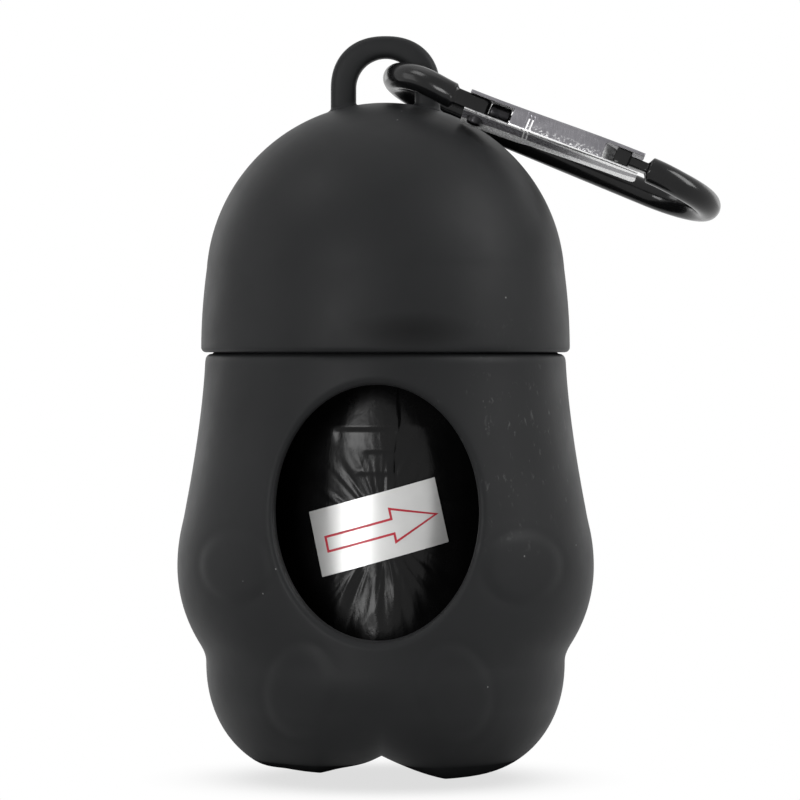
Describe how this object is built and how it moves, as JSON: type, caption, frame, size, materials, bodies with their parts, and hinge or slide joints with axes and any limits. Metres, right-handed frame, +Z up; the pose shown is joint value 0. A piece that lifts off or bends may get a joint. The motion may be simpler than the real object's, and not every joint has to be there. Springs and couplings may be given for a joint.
{
  "type": "dog poop bag dispenser",
  "caption": "Paw-shaped bag dispenser in matte silicone with an oval window, a pull-off dome cap, a roll of bags inside and a snap hook in its hanging eye.",
  "frame": {"origin": "middle of the hole in the hanging eye, on the dispenser's upright axis", "axes": "+Z up along the dispenser, -Y is the side with the bag window, +X is to the right as that side is seen; the hook hangs towards +X"},
  "size_m": [0.0644, 0.0438, 0.0877],
  "materials": {
    "silicone": "matte moulded silicone",
    "film": "thin black film, glossy",
    "card": "plain card",
    "label": "satin paper with a thin printed arrow",
    "black_wire": "gloss black",
    "bright_steel": "bright plate with fine scratches"
  },
  "bodies": {
    "body": {"body_shell": "silicone"},
    "cap": {"cap_shell": "silicone"},
    "roll": {"roll_core": "card", "bag_roll": "film", "start_label": "label"},
    "hook": {"carabiner_frame": "black_wire"},
    "gate": {"gate_channel": "bright_steel", "gate_rivet": "bright_steel", "gate_plunger": "bright_steel", "gate_spring": "bright_steel"}
  },
  "joints": [
    {"name": "cap_lift", "type": "slide", "parent": "body", "child": "cap", "axis": [0, 0, 1], "range_m": [0, 0.014]},
    {"name": "roll_spin", "type": "hinge", "parent": "body", "child": "roll", "pos_m": [0, 0, -0.05], "axis": [0, 0, 1], "continuous": true},
    {"name": "clip_swing", "type": "hinge", "parent": "cap", "child": "hook", "pos_m": [0.00125, 0, -0.00005], "axis": [0.0502, -0.9914, 0.1205], "range_deg": [0, 134.8]},
    {"name": "gate_open", "type": "hinge", "parent": "hook", "child": "gate", "pos_m": [0.01167, -0.00714, -0.00337], "axis": [0.381, 0.1305, 0.9153], "range_deg": [0, 25], "stiffness_Nm_per_rad": 0.004, "springref_deg": -17.19}
  ]
}
